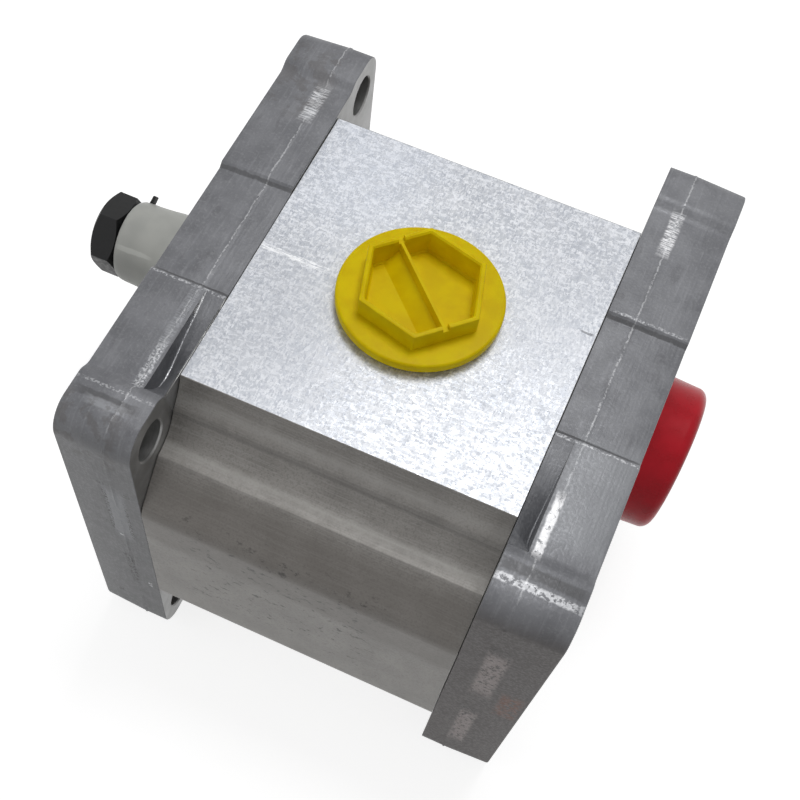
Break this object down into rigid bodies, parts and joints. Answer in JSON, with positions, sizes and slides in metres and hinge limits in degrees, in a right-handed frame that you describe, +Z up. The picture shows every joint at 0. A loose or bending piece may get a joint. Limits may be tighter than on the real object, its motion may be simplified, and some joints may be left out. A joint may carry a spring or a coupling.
{
  "type": "gear pump",
  "caption": "External gear pump: aluminium body between two four-bolt covers, taper shaft with nut and sleeve, plugged ports and a capped rear drive.",
  "frame": {"origin": "middle of the underside of the bounding box", "axes": "+X along the shaft from the mounting face towards the rear cap, +Y from the driven gear to the drive gear, +Z up out of the inlet port"},
  "size_m": [0.1456, 0.1116, 0.0914],
  "materials": {
    "cast_aluminium": "die-cast, dull and mottled, with ground gate marks",
    "drawn_aluminium": "extruded and milled, bright port face",
    "steel": "ground and turned steel",
    "black_steel": "blackened steel",
    "bearing_bronze": "plain bearing lining",
    "seal_rubber": "black nitrile",
    "white_plastic": "milky translucent sleeve",
    "yellow_plastic": "moulded yellow plastic",
    "red_plastic": "glossy dark red cap"
  },
  "bodies": {
    "housing": {"front_cover": "cast_aluminium", "rear_cover": "cast_aluminium", "pump_body": "drawn_aluminium", "front_bearing_block": "drawn_aluminium", "rear_bearing_block": "drawn_aluminium", "seal_spring": "steel", "retaining_ring": "steel", "screw_near_lower": "steel", "screw_near_upper": "steel", "screw_far_lower": "steel", "screw_far_upper": "steel", "screw_washer_near_lower": "steel", "screw_washer_near_upper": "steel", "screw_washer_far_lower": "steel", "screw_washer_far_upper": "steel", "dowel_front_near": "steel", "dowel_front_far": "steel", "dowel_rear_near": "steel", "dowel_rear_far": "steel", "front_drive_bearing": "bearing_bronze", "front_driven_bearing": "bearing_bronze", "rear_drive_bearing": "bearing_bronze", "rear_driven_bearing": "bearing_bronze", "front_body_seal": "seal_rubber", "rear_body_seal": "seal_rubber", "front_block_seal": "seal_rubber", "rear_block_seal": "seal_rubber", "shaft_seal": "seal_rubber", "outlet_plug": "yellow_plastic"},
    "drive_shaft": {"drive_shaft": "steel", "woodruff_key": "steel", "shaft_washer": "steel", "shaft_nut": "black_steel", "shaft_sleeve": "white_plastic", "rear_coupling": "steel"},
    "driven_gear": {"driven_gear": "steel"},
    "inlet_plug": {"inlet_plug": "yellow_plastic"},
    "rear_cap": {"rear_cap": "red_plastic"}
  },
  "joints": [
    {"name": "drive_spin", "type": "hinge", "parent": "housing", "child": "drive_shaft", "pos_m": [0, 0.0156, 0.0434], "axis": [1, 0, 0], "continuous": true},
    {"name": "driven_spin", "type": "hinge", "parent": "housing", "child": "driven_gear", "pos_m": [0, -0.0156, 0.0434], "axis": [1, 0, 0], "continuous": true},
    {"name": "inlet_plug_lift", "type": "slide", "parent": "housing", "child": "inlet_plug", "axis": [0, 0, 1], "range_m": [0, 0.02]},
    {"name": "rear_cap_pull", "type": "slide", "parent": "housing", "child": "rear_cap", "axis": [1, 0, 0], "range_m": [0, 0.02]}
  ],
  "couplings": [
    {"joint": "driven_spin", "follows": "drive_spin", "ratio": -1}
  ]
}
